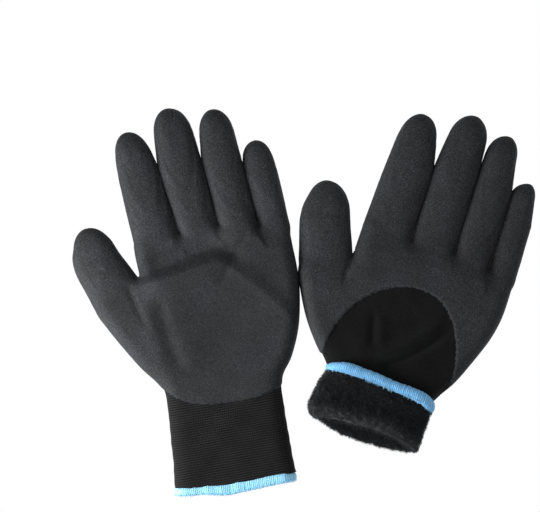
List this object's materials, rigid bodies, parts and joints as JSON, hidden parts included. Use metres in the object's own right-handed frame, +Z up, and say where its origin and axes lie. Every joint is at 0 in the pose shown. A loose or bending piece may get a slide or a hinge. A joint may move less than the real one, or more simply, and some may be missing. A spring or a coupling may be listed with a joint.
{
  "type": "cryogenic gloves",
  "caption": "Pair of fleece-lined knitted gloves with a foam-dipped palm and fingers, one palm up, the other back up with its cuff turned back.",
  "frame": {"origin": "middle of the pair's bounding box, on the surface that it lies on", "axes": "+X across the pair from the palm-up left glove to the back-up right glove, +Y towards the fingertips, +Z up"},
  "size_m": [0.313, 0.259, 0.0294],
  "materials": {
    "foam_nitrile": "matte sandy foam nitrile, charcoal",
    "knit": "matte seamless nylon knit, black",
    "fleece": "brushed fleece, black",
    "overlock_yarn": "light blue overlocked yarn",
    "elastic_yarn": "covered elastic yarn, black"
  },
  "bodies": {
    "left_hand": {"left_hand_coating": "foam_nitrile", "left_hand_shell": "knit", "left_hand_liner": "fleece"},
    "left_cuff": {"left_cuff_shell": "knit", "left_cuff_liner": "fleece", "left_cuff_elastic": "elastic_yarn", "left_cuff_hem": "overlock_yarn"},
    "left_thumb_base": {"left_thumb_base_shell": "foam_nitrile", "left_thumb_base_liner": "fleece"},
    "left_thumb_tip": {"left_thumb_tip_shell": "foam_nitrile", "left_thumb_tip_liner": "fleece"},
    "left_index_base": {"left_index_base_shell": "foam_nitrile", "left_index_base_liner": "fleece"},
    "left_index_tip": {"left_index_tip_shell": "foam_nitrile", "left_index_tip_liner": "fleece"},
    "left_middle_base": {"left_middle_base_shell": "foam_nitrile", "left_middle_base_liner": "fleece"},
    "left_middle_tip": {"left_middle_tip_shell": "foam_nitrile", "left_middle_tip_liner": "fleece"},
    "left_ring_base": {"left_ring_base_shell": "foam_nitrile", "left_ring_base_liner": "fleece"},
    "left_ring_tip": {"left_ring_tip_shell": "foam_nitrile", "left_ring_tip_liner": "fleece"},
    "left_little_base": {"left_little_base_shell": "foam_nitrile", "left_little_base_liner": "fleece"},
    "left_little_tip": {"left_little_tip_shell": "foam_nitrile", "left_little_tip_liner": "fleece"},
    "right_hand": {"right_hand_coating": "foam_nitrile", "right_hand_shell": "knit", "right_hand_liner": "fleece"},
    "right_cuff": {"right_cuff_shell": "knit", "right_cuff_liner": "fleece", "right_cuff_elastic": "elastic_yarn", "right_cuff_hem": "overlock_yarn"},
    "right_thumb_base": {"right_thumb_base_shell": "foam_nitrile", "right_thumb_base_liner": "fleece"},
    "right_thumb_tip": {"right_thumb_tip_shell": "foam_nitrile", "right_thumb_tip_liner": "fleece"},
    "right_index_base": {"right_index_base_shell": "foam_nitrile", "right_index_base_liner": "fleece"},
    "right_index_tip": {"right_index_tip_shell": "foam_nitrile", "right_index_tip_liner": "fleece"},
    "right_middle_base": {"right_middle_base_shell": "foam_nitrile", "right_middle_base_liner": "fleece"},
    "right_middle_tip": {"right_middle_tip_shell": "foam_nitrile", "right_middle_tip_liner": "fleece"},
    "right_ring_base": {"right_ring_base_shell": "foam_nitrile", "right_ring_base_liner": "fleece"},
    "right_ring_tip": {"right_ring_tip_shell": "foam_nitrile", "right_ring_tip_liner": "fleece"},
    "right_little_base": {"right_little_base_shell": "foam_nitrile", "right_little_base_liner": "fleece"},
    "right_little_tip": {"right_little_tip_shell": "foam_nitrile", "right_little_tip_liner": "fleece"}
  },
  "joints": [
    {"name": "right_glove_lift", "type": "slide", "parent": "left_hand", "child": "right_hand", "axis": [0, 0, 1], "range_m": [0, 0.12]},
    {"name": "left_wrist", "type": "hinge", "parent": "left_hand", "child": "left_cuff", "pos_m": [-0.05295, -0.07852, 0.0094], "axis": [-0.9919, -0.1271, 0], "range_deg": [-50, 60], "stiffness_Nm_per_rad": 0.12},
    {"name": "left_thumb_knuckle", "type": "hinge", "parent": "left_hand", "child": "left_thumb_base", "pos_m": [-0.13095, 0.01203, 0.0092], "axis": [0.848, 0.5299, 0], "range_deg": [-10, 45], "stiffness_Nm_per_rad": 0.08},
    {"name": "left_thumb_middle", "type": "hinge", "parent": "left_thumb_base", "child": "left_thumb_tip", "pos_m": [-0.13943, 0.0256, 0.0092], "axis": [0.9426, 0.3338, 0], "range_deg": [-10, 45], "stiffness_Nm_per_rad": 0.08},
    {"name": "left_index_knuckle", "type": "hinge", "parent": "left_hand", "child": "left_index_base", "pos_m": [-0.10369, 0.05463, 0.0088], "axis": [0.9613, 0.2756, 0], "range_deg": [-10, 65], "stiffness_Nm_per_rad": 0.08},
    {"name": "left_index_middle", "type": "hinge", "parent": "left_index_base", "child": "left_index_tip", "pos_m": [-0.11196, 0.08346, 0.0088], "axis": [0.9511, 0.309, 0], "range_deg": [-10, 65], "stiffness_Nm_per_rad": 0.08},
    {"name": "left_middle_knuckle", "type": "hinge", "parent": "left_hand", "child": "left_middle_base", "pos_m": [-0.07504, 0.05965, 0.0088], "axis": [0.9563, 0.2924, 0], "range_deg": [-10, 65], "stiffness_Nm_per_rad": 0.08},
    {"name": "left_middle_middle", "type": "hinge", "parent": "left_middle_base", "child": "left_middle_tip", "pos_m": [-0.08469, 0.09121, 0.0088], "axis": [0.9724, 0.2334, 0], "range_deg": [-10, 65], "stiffness_Nm_per_rad": 0.08},
    {"name": "left_ring_knuckle", "type": "hinge", "parent": "left_hand", "child": "left_ring_base", "pos_m": [-0.0492, 0.06528, 0.0086], "axis": [0.9681, 0.2504, 0], "range_deg": [-10, 65], "stiffness_Nm_per_rad": 0.08},
    {"name": "left_ring_middle", "type": "hinge", "parent": "left_ring_base", "child": "left_ring_tip", "pos_m": [-0.05697, 0.09529, 0.0086], "axis": [0.9833, 0.1822, 0], "range_deg": [-10, 65], "stiffness_Nm_per_rad": 0.08},
    {"name": "left_little_knuckle", "type": "hinge", "parent": "left_hand", "child": "left_little_base", "pos_m": [-0.02349, 0.06373, 0.0078], "axis": [0.9681, 0.2504, 0], "range_deg": [-10, 65], "stiffness_Nm_per_rad": 0.08},
    {"name": "left_little_middle", "type": "hinge", "parent": "left_little_base", "child": "left_little_tip", "pos_m": [-0.02899, 0.08503, 0.0078], "axis": [0.9724, 0.2334, 0], "range_deg": [-10, 65], "stiffness_Nm_per_rad": 0.08},
    {"name": "right_wrist", "type": "hinge", "parent": "right_hand", "child": "right_cuff", "pos_m": [0.05366, -0.04515, 0.0147], "axis": [0.9563, -0.2924, 0], "range_deg": [-50, 60], "stiffness_Nm_per_rad": 0.12},
    {"name": "right_thumb_knuckle", "type": "hinge", "parent": "right_hand", "child": "right_thumb_base", "pos_m": [0.01334, 0.0371, 0.0092], "axis": [-0.9994, -0.0349, 0], "range_deg": [-10, 45], "stiffness_Nm_per_rad": 0.08},
    {"name": "right_thumb_middle", "type": "hinge", "parent": "right_thumb_base", "child": "right_thumb_tip", "pos_m": [0.01275, 0.05409, 0.0092], "axis": [-0.9962, 0.0872, 0], "range_deg": [-10, 45], "stiffness_Nm_per_rad": 0.08},
    {"name": "right_index_knuckle", "type": "hinge", "parent": "right_hand", "child": "right_index_base", "pos_m": [0.06036, 0.06155, 0.0088], "axis": [-0.9511, 0.309, 0], "range_deg": [-10, 65], "stiffness_Nm_per_rad": 0.08},
    {"name": "right_index_middle", "type": "hinge", "parent": "right_index_base", "child": "right_index_tip", "pos_m": [0.06963, 0.09008, 0.0088], "axis": [-0.9613, 0.2756, 0], "range_deg": [-10, 65], "stiffness_Nm_per_rad": 0.08},
    {"name": "right_middle_knuckle", "type": "hinge", "parent": "right_hand", "child": "right_middle_base", "pos_m": [0.09039, 0.05237, 0.0088], "axis": [-0.9511, 0.309, 0], "range_deg": [-10, 65], "stiffness_Nm_per_rad": 0.08},
    {"name": "right_middle_middle", "type": "hinge", "parent": "right_middle_base", "child": "right_middle_tip", "pos_m": [0.10089, 0.08471, 0.0088], "axis": [-0.9483, 0.3173, 0], "range_deg": [-10, 65], "stiffness_Nm_per_rad": 0.08},
    {"name": "right_ring_knuckle", "type": "hinge", "parent": "right_hand", "child": "right_ring_base", "pos_m": [0.11658, 0.04437, 0.0086], "axis": [-0.9563, 0.2924, 0], "range_deg": [-10, 65], "stiffness_Nm_per_rad": 0.08},
    {"name": "right_ring_middle", "type": "hinge", "parent": "right_ring_base", "child": "right_ring_tip", "pos_m": [0.12565, 0.07401, 0.0086], "axis": [-0.9588, 0.284, 0], "range_deg": [-10, 65], "stiffness_Nm_per_rad": 0.08},
    {"name": "right_little_knuckle", "type": "hinge", "parent": "right_hand", "child": "right_little_base", "pos_m": [0.13559, 0.02914, 0.0078], "axis": [-0.9613, 0.2756, 0], "range_deg": [-10, 65], "stiffness_Nm_per_rad": 0.08},
    {"name": "right_little_middle", "type": "hinge", "parent": "right_little_base", "child": "right_little_tip", "pos_m": [0.1422, 0.05221, 0.0078], "axis": [-0.9563, 0.2924, 0], "range_deg": [-10, 65], "stiffness_Nm_per_rad": 0.08}
  ],
  "couplings": [
    {"joint": "left_thumb_middle", "follows": "left_thumb_knuckle", "ratio": 1},
    {"joint": "left_index_middle", "follows": "left_index_knuckle", "ratio": 1},
    {"joint": "left_middle_middle", "follows": "left_middle_knuckle", "ratio": 1},
    {"joint": "left_ring_middle", "follows": "left_ring_knuckle", "ratio": 1},
    {"joint": "left_little_middle", "follows": "left_little_knuckle", "ratio": 1},
    {"joint": "right_thumb_middle", "follows": "right_thumb_knuckle", "ratio": 1},
    {"joint": "right_index_middle", "follows": "right_index_knuckle", "ratio": 1},
    {"joint": "right_middle_middle", "follows": "right_middle_knuckle", "ratio": 1},
    {"joint": "right_ring_middle", "follows": "right_ring_knuckle", "ratio": 1},
    {"joint": "right_little_middle", "follows": "right_little_knuckle", "ratio": 1}
  ]
}
